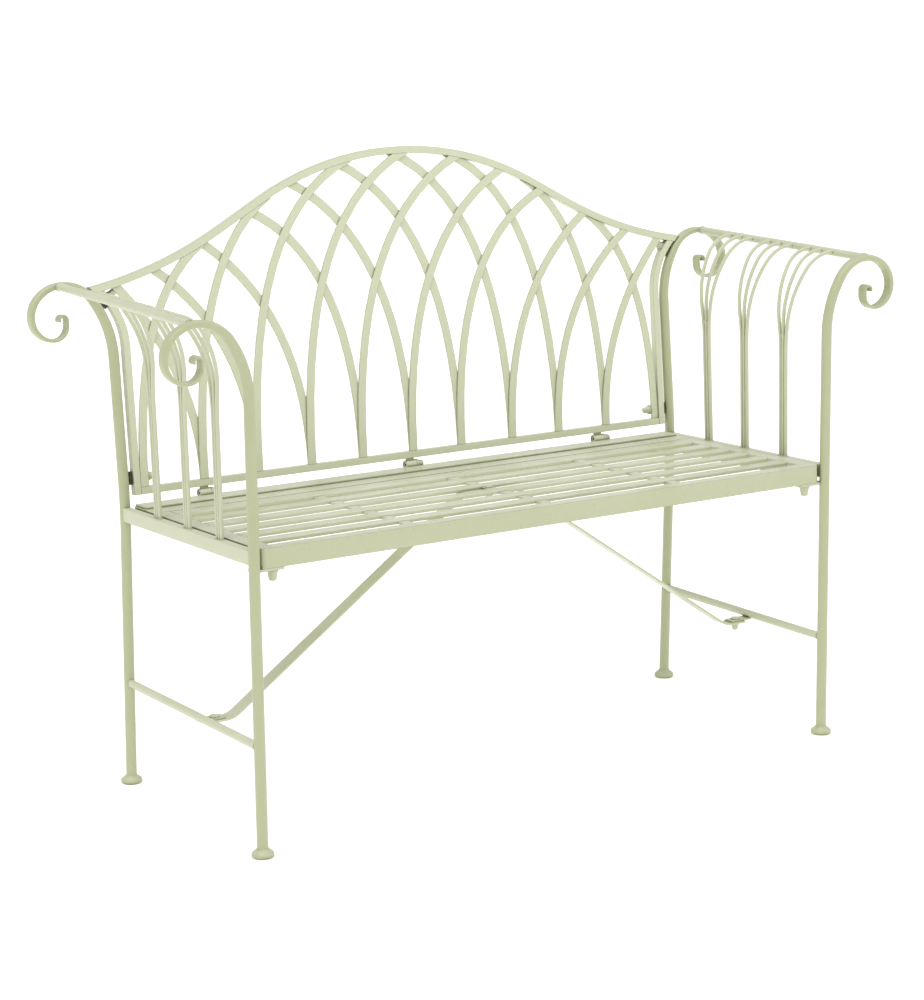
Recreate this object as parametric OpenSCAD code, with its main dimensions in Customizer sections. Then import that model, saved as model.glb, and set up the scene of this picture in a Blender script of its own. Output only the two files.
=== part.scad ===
// Garden bench: two scrolled side frames, a slatted seat panel, an arched lattice back
// and two diagonal braces, bolted together. +X is to the right of someone facing the
// front, +Y is to the back, and the feet stand on z = 0.

/* [Overall] */
// Distance between the left and right leg axes
leg_span = 1010; // [960:2:1100]
// Distance from the front feet to the back feet
leg_depth = 410; // [400:1:420]
// Height of the front edge of the seat
seat_h = 436; // [420:1:450]
// Lean of the back and of the upper back legs, degrees
back_lean = 4.8; // [3:0.1:7]
// Rearward slope of the seat, degrees
seat_slope = 1.04; // [0:0.02:2]

/* [Side frames] */
// Outer diameter of the legs
leg_d = 16; // [14:0.5:18]
// Wall of the leg tubes
leg_wall = 1.5; // [1:0.25:2.5]
// Height at which the front legs start to turn outwards
scroll_h = 640; // [620:1:660]
// Width of the flattened scroll, front to back
scroll_w = 17; // [16:0.5:20]
// Diameter of the arm rails
arm_rail_d = 12; // [10:0.5:14]
// Diameter of the stretchers near the ground
stretcher_d = 12; // [10:0.5:14]
// Height of the stretcher axis
stretcher_h = 158; // [140:1:180]
// Diameter of the rods under the arms
rod_d = 6; // [5:0.5:7]
// Angle by which the outer rods of a bundle fan out, degrees
rod_fan = 8.5; // [7:0.1:9]

/* [Seat] */
// Half the length of the seat panel
seat_half = 494.5; // [490:0.5:496]
// Depth of the seat panel
seat_depth = 391; // [388:0.5:393]
// Height of the skirt around the seat panel
skirt_h = 28.5; // [24:0.5:32]
// Thickness of the seat's sheet steel and slats
sheet_t = 2; // [1.5:0.25:3]
// Width of one slat
slat_w = 24; // [20:0.5:28]
// Distance from one slat to the next
slat_pitch = 48; // [47.6:0.1:48.2]

/* [Back] */
// Side of the square bars of the back's frame
bar = 11; // [10:0.5:12]
// Half the distance between the two uprights' axes
upright_x = 485; // [482:0.5:486]
// Height of the arch's axis above the leg knees, along the lean
arch_top = 495.4; // [480:0.2:510]
// Width of a lattice strip
strip_w = 13.5; // [10:0.5:16]
// Thickness of a lattice strip
strip_t = 2.5; // [2:0.25:2.5]

/* [Fasteners] */
// Thread diameter of the bolts and studs
bolt_d = 6; // [5:0.5:6]
// Clearance hole for a bolt
hole_d = 6.6; // [6.2:0.1:7]

/* [Hidden] */
$fn = 48;
paint = "#d3d6b8";
paint_worn = "#c4c8a3";
steel = "#9a9a92";
rubber = "#3c3f30";

leg_x = leg_span / 2;
knee_y = leg_depth - 16;
knee_h = 430;
foot_d = 32;
foot_h = 12;
foot_floor = 3;
// half the gap that keeps two touching pieces in one group apart
clear = 0.1;

// radius and angle of each arc of a scroll, from the leg outwards
scroll_arcs = [[152, 35], [58, 55], [54, 45], [42, 45], [33, 90], [21, 90]];
// height and width of a scroll's outward turn, up to where it runs level
first_arc = scroll_arcs[0];
second_arc_r = scroll_arcs[1][0];
scroll_rise = first_arc[0] * sin(first_arc[1]) + second_arc_r * (1 - sin(first_arc[1]));
scroll_run = first_arc[0] * (1 - cos(first_arc[1])) + second_arc_r * cos(first_arc[1]);
roll_r = 6;
roll_turn = 200;
roll_lead = 8;
// the strap's thickness and width against the angle it has turned through
scroll_taper = [[0, leg_d], [35, 14.5], [45, 13], [90, 10], [180, 8], [270, 5.5], [360, 4], [560, 3.2]];
scroll_width = [[0, leg_d], [90, scroll_w], [360, scroll_w + 0.8]];
leg_sides = 16;

arm_x = leg_x + 81;
arm_front_h = scroll_h + scroll_rise - 0.9;
rear_scroll_v = 219.8;
rear_top_v = rear_scroll_v + scroll_rise - 0.4;
arm_rear_y = knee_y + rear_top_v * sin(back_lean);
arm_rear_h = knee_h + rear_top_v * cos(back_lean);
arm_pitch = atan((arm_rear_h - arm_front_h) / arm_rear_y);

// each bundle of rods: its foot along the side rail and its lean, degrees
rod_bundles = [[99, 0.9], [195, 1.3], [288, 2.5]];
rod_x = leg_x - 1;
rod_pitch = rod_d + 2 * clear;
rod_fan_h = 620;
rod_sides = 8;

rail_in = leg_x - 6.5;
rail_out = leg_x + 6;
rail_top = -0.5;
rail_h = 21;

flange_front = 22;
flange_rear_y = 322;
flange_side = 25;
corner_r = 9;
first_slat_y = 48.2;
slat_lip = 5;
cross_bar_x = 238;
cross_bar_w = 16;
cross_bar_t = 3;
rear_strip_y = 355;
rear_strip_w = 35;
rear_strip_t = 3;
rear_strip_r = 6;
rear_strip_half = seat_half - 4;

// the front bolts stand upright in the corners, the rear ones run back through the skirt
seat_bolt_x = 472;
seat_bolt_y = 10;
rear_bolt_x = 474;
rear_bolt_z = -16;
plate_t = 2.5;
tab_t = 3;
seat_tab_t = 4;
tab_w = 18;

brace_y = 184.5;
brace_w = 25;
brace_t = 3;
brace_bolt_x = 478;
brace_low = 147;
brace_outer_x = 452;
brace_inner_x = 50;
// underside of the centre cross bar above the brace, upright
brace_high = seat_h - brace_y * tan(seat_slope) - sheet_t - cross_bar_t;

rail_v = 14.5;
upright_v = 233.8;
upright_r = 117;
upright_turn = 50;
arch_r = 520;
arch_half = 28.5;
dip_r = 702;
dip_x = 315;
rail_end_x = 541;
rail_step = (rail_end_x - dip_x) / 10;
arch_c = arch_top - arch_r;
dip_v = arch_c + arch_r * cos(arch_half) - (dip_x - arch_r * sin(arch_half)) * tan(arch_half);
dip_c = [dip_x + dip_r * sin(arch_half), dip_v + dip_r * cos(arch_half)];
// feet of the strips of both layers on the bottom rail, left to right
strip_feet = [-472.75, -373, -280, -187, -95.5, -3.5, 87, 185, 276, 371, 472.75];
// for each strip, left to right: where its top meets the arch, and how high its foot's
// own direction reaches
strip_tops = [[-350, 298], [-232, 355], [-88, 412], [15, 408], [111, 388],
              [194, 356], [270, 342], [350, 262], [433, 236], [497, 193]];

tab_x = [-364, 0, 364];
tab_v = 4.2;
tab_r = 7;
tab_bolt_d = 5;
sleeve_l = 18.5;
sleeve_bore = 10;
sleeve_bore_depth = 5.5;
neck_w = 13;
neck_t = 4;
stud_low_v = 40.1;
stud_high_turn = 38;
// the studs run behind the middle of the bars, clear of the strips
stud_y = 2.2;
stud_d = 5;
stud_hole_d = 5.4;
spacer_l = 20;
spacer_w = 9;
spacer_t = 4.5;
boss_d = 8.6;
insert_d = 8;
insert_h = 9.5;
insert_start = -2.5;
washer_t = 1.6;

// ---- helpers -------------------------------------------------------------------

function unit(v) = v / norm(v);
function side_normal(a, b) = let (d = unit(b - a)) [-d[1], d[0]];

// unit normal of a line of points at point i, lengthened at a corner to keep the width
function mitre(p, i) =
    let (last = len(p) - 1)
    i == 0 ? side_normal(p[0], p[1]) :
    i == last ? side_normal(p[last - 1], p[last]) :
    let (a = side_normal(p[i - 1], p[i]), b = side_normal(p[i], p[i + 1]))
    (a + b) / (1 + a * b);

// flat band of the given widths along a line of points
module band(p, w) {
    left = [for (i = [0:len(p) - 1]) p[i] + mitre(p, i) * w[i] / 2];
    right = [for (i = [len(p) - 1:-1:0]) p[i] - mitre(p, i) * w[i] / 2];
    polygon(concat(left, right));
}

module even_band(p, w) band(p, [for (q = p) w]);

// start point and turned angle of arc j of the scroll
function arc_start(j) =
    j == 0 ? [0, 0, 0] :
    let (s = arc_start(j - 1), r = scroll_arcs[j - 1][0], t = s[2] + scroll_arcs[j - 1][1])
    [s[0] + r * (cos(s[2]) - cos(t)), s[1] + r * (sin(t) - sin(s[2])), t];

function arc_point(s, r, t) = [s[0] + r * (cos(s[2]) - cos(t)), s[1] + r * (sin(t) - sin(s[2])), t];

// arch and dips of the back's top rail: height of its axis at x
function rail_axis(x) =
    abs(x) < arch_r * sin(arch_half) ? arch_c + sqrt(arch_r * arch_r - x * x) :
    abs(x) < dip_x ? dip_v + (dip_x - abs(x)) * tan(arch_half) :
    dip_c[1] - sqrt(dip_r * dip_r - (dip_c[0] - abs(x)) * (dip_c[0] - abs(x)));

function bezier(a, b, c, t) = a * (1 - t) * (1 - t) + b * 2 * t * (1 - t) + c * t * t;

// the origin of the whole bench is the middle of its footprint
module bench() translate([0, -middle_y, 0]) children();
middle_y = (knee_y + (arch_top + bar / 2) * sin(back_lean) + bar / 2 * cos(back_lean) - foot_d / 2) / 2;

module side(s) {
    if (s > 0) children();
    else mirror([1, 0, 0]) children();
}

// seat panel: y along the seat from its front edge, z square to its top
module seat_frame() bench() translate([0, 0, seat_h]) rotate([-seat_slope, 0, 0]) children();

// back: y through its depth, z along its lean, from the leg knees
module back_frame() bench() translate([0, knee_y, knee_h]) rotate([-back_lean, 0, 0]) children();

// an outline drawn in x and height, given a depth from y0 to y0 + t
module upright_slab(y0, t) translate([0, y0 + t, 0]) rotate([90, 0, 0]) linear_extrude(t) children();

// round bar that starts straight up and turns towards +X
module bend(r, a, d)
    translate([r, 0, 0]) rotate([90, 0, 0]) rotate([0, 0, 180 - a])
        rotate_extrude(angle = a) translate([r, 0]) circle(d = d);

module bar_from(a, b, d) {
    v = b - a;
    translate(a) rotate([0, acos(v[2] / norm(v)), atan2(v[1], v[0])]) cylinder(d = d, h = norm(v));
}

// ---- side frames ---------------------------------------------------------------

// line of a scroll from the top of its leg: [x, height, angle turned] at each step
scroll_line = concat(
    [[0, 0, 0]],
    [for (j = [0:len(scroll_arcs) - 1])
        let (s = arc_start(j), n = ceil(scroll_arcs[j][1] / 9))
        for (i = [1:n])
            let (t = s[2] + scroll_arcs[j][1] * i / n)
            arc_point(s, scroll_arcs[j][0], t)],
    [for (i = [0:10])
        let (s = arc_start(len(scroll_arcs)))
        arc_point([s[0], s[1] + roll_lead, s[2]], roll_r, s[2] + roll_turn * i / 10)]
);

// the rods turn outwards as the legs do, and run on a little under the arm rail
rod_line = concat([for (q = scroll_line) if (q[2] < 91) q], [[scroll_run + 6, scroll_rise, 90]]);

// section across the line at angle t: round on the leg, a flat strap with soft edges later
function strap_ring(q, sides) =
    let (flat = lookup(q[2], scroll_taper) / 2, wide = lookup(q[2], scroll_width) / 2)
    let (soft = lookup(q[2], [[30, 1], [120, 0.6]]))
    [for (i = [0:sides - 1])
        let (a = 360 * i / sides)
        let (u = flat * sign(cos(a)) * pow(abs(cos(a)), soft))
        let (v = wide * sign(sin(a)) * pow(abs(sin(a)), soft))
        [q[0] + u * cos(q[2]), v, q[1] - u * sin(q[2])]];

function tube_ring(p, d, sides) =
    [for (i = [0:sides - 1]) p + [d / 2 * cos(360 * i / sides), d / 2 * sin(360 * i / sides), 0]];

function lean_point(p, a) = [p[0], p[1] * cos(a) + p[2] * sin(a), p[2] * cos(a) - p[1] * sin(a)];

// closed skin over a row of rings
module skin(rings) {
    n = len(rings[0]);
    last = len(rings) - 1;
    polyhedron(
        points = [for (r = rings) each r],
        faces = concat(
            [[for (i = [0:n - 1]) i]],
            [for (k = [0:last - 1], i = [0:n - 1])
                [k * n + i, (k + 1) * n + i, (k + 1) * n + (i + 1) % n, k * n + (i + 1) % n]],
            [[for (i = [n - 1:-1:0]) last * n + i]]
        )
    );
}

module front_leg_shape() difference() {
    skin(concat(
        [tube_ring([0, 0, foot_floor], leg_d, leg_sides)],
        [for (q = scroll_line) [for (p = strap_ring(q, leg_sides)) p + [0, 0, scroll_h]]]
    ));
    skin([for (z = [foot_floor - 1, scroll_h - 20]) tube_ring([0, 0, z], leg_d - 2 * leg_wall, leg_sides)]);
}

// ends of the lower back leg's axis
rear_foot = [0, leg_depth, foot_floor];
knee = [0, knee_y, knee_h];

module rear_leg_shape() {
    upper = [for (q = scroll_line) [for (p = strap_ring(q, leg_sides))
        knee + lean_point(p + [0, 0, rear_scroll_v], back_lean)]];
    bore = leg_d - 2 * leg_wall;
    difference() {
        skin(concat([tube_ring(rear_foot, leg_d, leg_sides), tube_ring(knee, leg_d, leg_sides)], upper));
        skin([
            tube_ring(rear_foot - [0, 0, 1], bore, leg_sides),
            tube_ring(knee, bore, leg_sides),
            tube_ring(knee + lean_point([0, 0, rear_scroll_v - 20], back_lean), bore, leg_sides)
        ]);
        translate([-leg_x, knee_y, knee_h]) rotate([-back_lean, 0, 0]) {
            low_stud_line() translate([0, 0, insert_start]) cylinder(d = insert_d, h = leg_d);
            high_stud_line() translate([0, 0, insert_start]) cylinder(d = insert_d, h = leg_d);
        }
    }
}

module front_leg(s) color(paint) bench() side(s) translate([leg_x, 0, 0]) front_leg_shape();
module rear_leg(s) color(paint) bench() side(s) translate([leg_x, 0, 0]) rear_leg_shape();

// both legs of one side without their scrolls, for the pieces that are welded to them
module both_legs_outer() translate([leg_x, 0, 0]) {
    translate([0, 0, foot_floor]) cylinder(d = leg_d, h = scroll_h - foot_floor);
    bar_from(rear_foot, knee, leg_d);
}

module foot() {
    rotate_extrude() polygon([
        [0, 0], [foot_d / 2 - 2, 0], [foot_d / 2, 2], [foot_d / 2, 5], [foot_d / 2 - 1, 7],
        [foot_d / 2 - 4, 9], [leg_d / 2 + 2, foot_h], [0, foot_h]
    ]);
}

module feet() color(paint) bench() for (s = [-1, 1]) side(s) {
    difference() {
        translate([leg_x, 0, 0]) foot();
        translate([leg_x, 0, foot_floor]) cylinder(d = leg_d, h = foot_h);
    }
    difference() {
        translate([leg_x, leg_depth, 0]) foot();
        translate([leg_x, 0, 0]) bar_from(rear_foot, knee, leg_d);
    }
}

module arm_rail_line(d)
    translate([arm_x, 0, arm_front_h]) rotate([arm_pitch - 90, 0, 0])
        cylinder(d = d, h = arm_rear_y / cos(arm_pitch));

module arm_rail(s) color(paint) bench() side(s) difference() {
    arm_rail_line(arm_rail_d);
    arm_rail_line(arm_rail_d - 3);
    translate([arm_x - 10, -scroll_w / 2, arm_front_h - 10]) cube([20, scroll_w, 20]);
    translate([0, knee_y, knee_h]) rotate([-back_lean, 0, 0])
        translate([arm_x - 10, -scroll_w / 2, rear_top_v - 15]) cube([20, scroll_w, 30]);
}

module side_rail_box(s, inset) side(s)
    translate([rail_in + inset, 0, rail_top - rail_h + inset])
        cube([rail_out - rail_in - 2 * inset, knee_y, rail_h - 2 * inset]);

module side_rail(s) color(paint) difference() {
    seat_frame() side_rail_box(s, 0);
    seat_frame() side_rail_box(s, 1.5);
    bench() side(s) both_legs_outer();
}

module stretcher(s) color(paint) bench() side(s) difference() {
    translate([leg_x, 0, stretcher_h]) rotate([-90, 0, 0]) cylinder(d = stretcher_d, h = leg_depth);
    translate([leg_x, -1, stretcher_h]) rotate([-90, 0, 0]) cylinder(d = stretcher_d - 3, h = leg_depth);
    both_legs_outer();
    translate([leg_x - 10, leg_depth - 6, stretcher_h - 10]) cube([20, 20, 20]);
}

// one rod: straight, fanned, then turned outwards to meet the arm rail
module rod(y, lean, fan) {
    base = seat_h - y * tan(seat_slope) + rail_top - 1;
    straight = (rod_fan_h - base) / cos(lean);
    tilt = lean + fan;
    fan_point = [rod_x, y, base] + lean_point([0, 0, straight], lean);
    top_y = fan_point[1] + (arm_front_h - rod_fan_h) * tan(tilt);
    top_h = arm_front_h + top_y * tan(arm_pitch) + 1.5;
    rise = (top_h - rod_fan_h) / cos(tilt) - scroll_rise;
    skin(concat(
        [for (k = [0, 1]) [for (p = tube_ring([0, 0, 0], rod_d, rod_sides))
            [rod_x, y, base] + lean_point(p + [0, 0, k * straight], lean)]],
        [for (q = rod_line)
            [for (i = [0:rod_sides - 1])
                let (u = rod_d / 2 * cos(360 * i / rod_sides), v = rod_d / 2 * sin(360 * i / rod_sides))
                fan_point + lean_point([q[0] + u * cos(q[2]), v, rise + q[1] - u * sin(q[2])], tilt)]]
    ));
}

module rods(s, bundle) color(paint) {
    y = rod_bundles[bundle][0];
    lean = rod_bundles[bundle][1];
    difference() {
        bench() side(s) for (i = [-1:1]) rod(y + i * rod_pitch, lean, i * rod_fan);
        bench() side(s) arm_rail_line(arm_rail_d);
        seat_frame() side_rail_box(s, 0);
    }
}

// plates on the legs that the seat panel is bolted to: level at the front, upright at the back
module seat_tabs() color(paint) for (s = [-1, 1]) {
    difference() {
        seat_frame() side(s) translate([seat_bolt_x - 14, seat_bolt_y - tab_w / 2, -skirt_h - seat_tab_t])
            cube([leg_x - seat_bolt_x + 14, tab_w, seat_tab_t]);
        seat_frame() side(s) front_bolt_at() translate([0, 0, -10]) cylinder(d = hole_d, h = 20);
        bench() side(s) both_legs_outer();
    }
    difference() {
        seat_frame() side(s) translate([rear_bolt_x - 12, seat_depth, rear_bolt_z - tab_w / 2])
            cube([leg_x - rear_bolt_x + 12, seat_tab_t, tab_w]);
        seat_frame() side(s) rear_bolt_at() translate([0, 0, -10]) cylinder(d = hole_d, h = 20);
        bench() side(s) both_legs_outer();
    }
}

// underside of the skirt's front corner, and the outside of the rear skirt
module front_bolt_at() translate([seat_bolt_x, seat_bolt_y, -skirt_h]) children();
module rear_bolt_at() translate([rear_bolt_x, seat_depth, rear_bolt_z]) rotate([-90, 0, 0]) children();

// plates under the stretchers that the braces are bolted to
module brace_tabs() color(paint) bench() for (s = [-1, 1]) side(s) difference() {
    translate([brace_bolt_x - 14, brace_y - tab_w / 2, brace_low + brace_t])
        cube([leg_x - brace_bolt_x + 14, tab_w, tab_t]);
    translate([brace_bolt_x, brace_y, brace_low]) cylinder(d = hole_d, h = 20);
    translate([leg_x, 0, stretcher_h]) rotate([-90, 0, 0]) cylinder(d = stretcher_d, h = leg_depth);
}

// ---- seat panel ----------------------------------------------------------------

module rounded_plan(inset) {
    r = corner_r - inset;
    x = seat_half - corner_r;
    difference() {
        translate([-seat_half + inset, inset]) square([2 * (seat_half - inset), seat_depth - 2 * inset]);
        for (s = [-1, 1], e = [0, 1]) translate([s * x, e * (seat_depth - 2 * corner_r) + corner_r])
            mirror([s > 0 ? 0 : 1, 0]) mirror([0, e > 0 ? 0 : 1]) difference() {
                square(r + 1);
                circle(r);
            }
    }
}

// part of the panel's flange and skirt between y0 and y1
module panel_part(y0, y1, inner) {
    translate([0, 0, -sheet_t]) linear_extrude(sheet_t) intersection() {
        rounded_plan(0);
        difference() {
            translate([-seat_half, y0]) square([2 * seat_half, y1 - y0]);
            if (inner > 0) translate([-inner, y0 - 1]) square([2 * inner, y1 - y0 + 2]);
        }
    }
    translate([0, 0, -skirt_h]) linear_extrude(skirt_h - sheet_t) intersection() {
        difference() {
            rounded_plan(0);
            rounded_plan(sheet_t);
        }
        translate([-seat_half, y0]) square([2 * seat_half, y1 - y0]);
    }
}

// the front corners have bolting plates turned in from the bottom of the skirt
module seat_front_rail() color(paint) seat_frame() {
    panel_part(0, flange_front, 0);
    for (s = [-1, 1]) difference() {
        translate([s * (seat_bolt_x + 2) - 18, sheet_t - 0.5, -skirt_h]) cube([36, 20, plate_t]);
        side(s) front_bolt_at() translate([0, 0, -1]) cylinder(d = hole_d, h = plate_t + 2);
    }
}

module seat_rear_rail() color(paint) seat_frame() difference() {
    panel_part(flange_rear_y, seat_depth, 0);
    for (s = [-1, 1]) side(s) rear_bolt_at()
        translate([0, 0, -sheet_t - 1]) cylinder(d = hole_d, h = sheet_t + 2);
}

module seat_side_rail(s) color(paint) seat_frame() intersection() {
    panel_part(flange_front, flange_rear_y, seat_half - flange_side);
    translate([s > 0 ? 0 : -leg_span, 0, -leg_depth]) cube([leg_span, leg_depth, 2 * leg_depth]);
}

// slat i, a channel with its lips down, notched where the cross bars pass; the last one
// joins the rear flange
module seat_slat(i) color(paint) seat_frame() {
    y = first_slat_y + (i - 1) * slat_pitch;
    w = i == 6 ? flange_rear_y - y : slat_w;
    half = seat_half - flange_side;
    notch_w = cross_bar_w + 2 * clear;
    difference() {
        translate([-half, y, -slat_lip]) cube([2 * half, w, slat_lip]);
        translate([-half - 1, y + sheet_t, -slat_lip - 1])
            cube([2 * half + 2, w - 2 * sheet_t, slat_lip + 1 - sheet_t]);
        for (x = [-cross_bar_x, 0, cross_bar_x])
            translate([x - notch_w / 2, y - 1, -slat_lip - 1])
                cube([notch_w, w + 2, slat_lip + 1 - sheet_t]);
    }
}

// flat strip on top of the rear flange, its front corners rounded
module seat_rear_strip() color(paint) seat_frame() linear_extrude(rear_strip_t) difference() {
    translate([-rear_strip_half, rear_strip_y]) square([2 * rear_strip_half, rear_strip_w]);
    for (s = [-1, 1]) mirror([s > 0 ? 0 : 1, 0])
        translate([rear_strip_half - rear_strip_r, rear_strip_y + rear_strip_r]) difference() {
            translate([0, -rear_strip_r - 1]) square(rear_strip_r + 1);
            circle(rear_strip_r);
        }
}

module seat_cross_bars() color(paint) seat_frame() for (x = [-cross_bar_x, 0, cross_bar_x]) difference() {
    translate([x - cross_bar_w / 2, sheet_t, -sheet_t - cross_bar_t])
        cube([cross_bar_w, seat_depth - 2 * sheet_t, cross_bar_t]);
    if (x == 0) translate([0, brace_y, -10]) cylinder(d = hole_d, h = 20);
}

// where the bolts between seat and back run, first from the bench's front legs and the
// seat's height, then in the seat's own frame
tab_back = knee_y + tab_v * sin(back_lean);
tab_rise = knee_h + tab_v * cos(back_lean) - seat_h;
tab_axis_y = tab_back * cos(seat_slope) - tab_rise * sin(seat_slope);
tab_axis_z = tab_back * sin(seat_slope) + tab_rise * cos(seat_slope);
tab_low = 16;

module seat_back_tabs() color(paint) seat_frame() for (x = tab_x)
    translate([x + clear, 0, 0]) rotate([90, 0, 90]) linear_extrude(tab_t) difference() {
        union() {
            translate([seat_depth, -tab_low])
                square([tab_axis_y + tab_r - seat_depth, tab_axis_z + tab_low]);
            translate([tab_axis_y, tab_axis_z]) circle(tab_r);
        }
        translate([tab_axis_y, tab_axis_z]) circle(d = tab_bolt_d + 0.5);
    }

// ---- back ----------------------------------------------------------------------

rail_line = [
    for (i = [0:9]) let (x = i * rail_step - rail_end_x) [x, rail_axis(x)],
    [-dip_x, dip_v],
    for (a = [-arch_half:3:arch_half]) [arch_r * sin(a), arch_c + arch_r * cos(a)],
    [dip_x, dip_v],
    for (i = [1:10]) let (x = dip_x + i * rail_step) [x, rail_axis(x)]
];

// the legs' turn beside the ends of the top rail, with a hair of clearance
module leg_turn_outline() translate([leg_x, rear_scroll_v])
    even_band([for (q = scroll_line) if (q[2] < 91) [q[0], q[1]]], leg_d + 2 * clear);

module top_rail_outline() difference() {
    even_band(rail_line, bar);
    for (s = [-1, 1]) mirror([s > 0 ? 0 : 1, 0]) leg_turn_outline();
}

module above_rail() polygon(concat(rail_line, [
    [leg_span, rail_axis(rail_end_x)], [leg_span, leg_span],
    [-leg_span, leg_span], [-leg_span, rail_axis(rail_end_x)]
]));

module upright_outline() {
    line = [
        [upright_x, rail_v],
        for (t = [0:5:upright_turn])
            [upright_x + upright_r * (1 - cos(t)), upright_v + upright_r * sin(t)]
    ];
    difference() {
        even_band(line, bar);
        top_rail_outline();
        above_rail();
    }
}

module bottom_rail_outline() translate([-upright_x + bar / 2, rail_v]) square([2 * upright_x - bar, bar]);

module back_top_rail() color(paint) back_frame() upright_slab(-bar / 2, bar) top_rail_outline();

module back_bottom_rail() color(paint) back_frame() upright_slab(-bar / 2, bar) bottom_rail_outline();

module back_upright(s) color(paint) back_frame() side(s) difference() {
    upright_slab(-bar / 2, bar) upright_outline();
    low_stud_line() translate([0, 0, -10]) cylinder(d = stud_hole_d, h = 60);
    high_stud_line() translate([0, 0, -10]) cylinder(d = stud_hole_d, h = 60);
}

// outline of strip k, which leans to the right as it rises; layer 1 is drawn mirrored
module strip_outline(k, layer) {
    foot = [layer > 0 ? -strip_feet[10 - k] : strip_feet[k], rail_v + bar - 1];
    top = [strip_tops[k][0], rail_axis(strip_tops[k][0]) - 1];
    aim = [foot[0], strip_tops[k][1]];
    difference() {
        even_band([for (i = [0:14]) bezier(foot, aim, top, i / 14)], strip_w);
        top_rail_outline();
        bottom_rail_outline();
        for (s = [-1, 1]) mirror([s > 0 ? 0 : 1, 0]) upright_outline();
        above_rail();
    }
}

// strips k0 to k1 of the front layer, or their mirror images in the rear layer
module strips(k0, k1, layer) color(layer > 0 ? paint_worn : paint) back_frame()
    mirror([layer, 0, 0]) upright_slab(-bar / 2 + layer * strip_t, strip_t)
        for (k = [k0:k1]) strip_outline(k, layer);

// short sleeves hung under the bottom rail on a neck, each with room for a bolt head
module back_tabs() color(paint) back_frame() for (x = tab_x) difference() {
    union() {
        translate([x - clear - sleeve_l, 0, tab_v]) rotate([0, 90, 0]) cylinder(r = tab_r, h = sleeve_l);
        translate([x - clear - (sleeve_l + neck_w) / 2, -neck_t / 2, tab_v])
            cube([neck_w, neck_t, rail_v - tab_v]);
    }
    translate([x - sleeve_l - 1, 0, tab_v]) rotate([0, 90, 0])
        cylinder(d = tab_bolt_d + 0.5, h = sleeve_l + 2);
    translate([x - clear - sleeve_l - 1, 0, tab_v]) rotate([0, 90, 0])
        cylinder(d = sleeve_bore, h = sleeve_bore_depth + 1);
}

// line of a stud, from the leg's axis towards the middle of the bench
module low_stud_line() translate([leg_x, stud_y, stud_low_v]) rotate([0, -90, 0]) children();

leg_turn_c = [leg_x + first_arc[0], rear_scroll_v];
stud_seat = [
    upright_x + upright_r * (1 - cos(stud_high_turn)),
    upright_v + upright_r * sin(stud_high_turn)
];
stud_dir = [cos(stud_high_turn), -sin(stud_high_turn)];
stud_rel = stud_seat - leg_turn_c;
// distance from the upright's axis to the leg's, along the stud
stud_along = stud_rel * stud_dir;
stud_reach = -stud_along - sqrt(pow(stud_along, 2) - stud_rel * stud_rel + pow(first_arc[0], 2));
stud_start = stud_seat + stud_reach * stud_dir;

module high_stud_line()
    translate([stud_start[0], stud_y, stud_start[1]]) rotate([0, stud_high_turn - 90, 0]) children();

low_gap = leg_x - upright_x;
// the low nuts stand on the edge of the outer strips, the high ones on the uprights
low_nut_z = leg_x - strip_feet[10] + strip_w / 2 + 0.3;
high_nut_z = stud_reach + bar / 2;

// the faces of the uprights that the spacers stand on
module spacer_places(s) back_frame() side(s) {
    low_stud_line() translate([0, 0, low_gap - bar / 2]) children();
    high_stud_line() translate([0, 0, stud_reach - bar / 2]) children();
}

module nut_places(s) back_frame() side(s) {
    low_stud_line() translate([0, 0, low_nut_z]) children();
    high_stud_line() translate([0, 0, high_nut_z]) children();
}

module upper_leg_outer() {
    translate([leg_x, 0, 0]) {
        cylinder(d = leg_d, h = rear_scroll_v);
        translate([0, 0, rear_scroll_v]) bend(scroll_arcs[0][0], scroll_arcs[0][1], leg_d);
    }
}

// oblong plate standing along the leg, with a hole for the stud
module spacer_plate() linear_extrude(spacer_t) difference() {
    union() {
        square([spacer_l - spacer_w, spacer_w], center = true);
        for (e = [-1, 1]) translate([e * (spacer_l - spacer_w) / 2, 0]) circle(d = spacer_w);
    }
    circle(d = stud_hole_d);
}

// dark plates between the uprights and the back legs, each with a boss fitted to the leg
module back_spacers() color(rubber) for (s = [-1, 1]) difference() {
    spacer_places(s) {
        translate([0, 0, -spacer_t]) spacer_plate();
        translate([0, 0, -spacer_t - 6]) ring(boss_d, stud_hole_d, 6);
    }
    back_frame() side(s) upper_leg_outer();
    back_frame() side(s) upright_slab(-spacer_l, 2 * spacer_l) upright_outline();
}

module back_washers() color(paint_worn) for (s = [-1, 1]) nut_places(s) ring(16, stud_hole_d, washer_t);

module back_studs() color(steel) for (s = [-1, 1]) back_frame() side(s) {
    low_stud_line() cylinder(d = stud_d, h = low_nut_z + washer_t + 8);
    high_stud_line() cylinder(d = stud_d, h = high_nut_z + washer_t + 8);
}

module back_cap_nuts() color(paint_worn) for (s = [-1, 1]) nut_places(s)
    translate([0, 0, washer_t]) cap_nut(14, 9.5, 12, stud_d, 8.4);

module leg_inserts() color(steel) for (s = [-1, 1]) back_frame() side(s) {
    low_stud_line() translate([0, 0, insert_start]) ring(insert_d, stud_d, insert_h);
    high_stud_line() translate([0, 0, insert_start]) ring(insert_d, stud_d, insert_h);
}

// ---- braces --------------------------------------------------------------------

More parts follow.
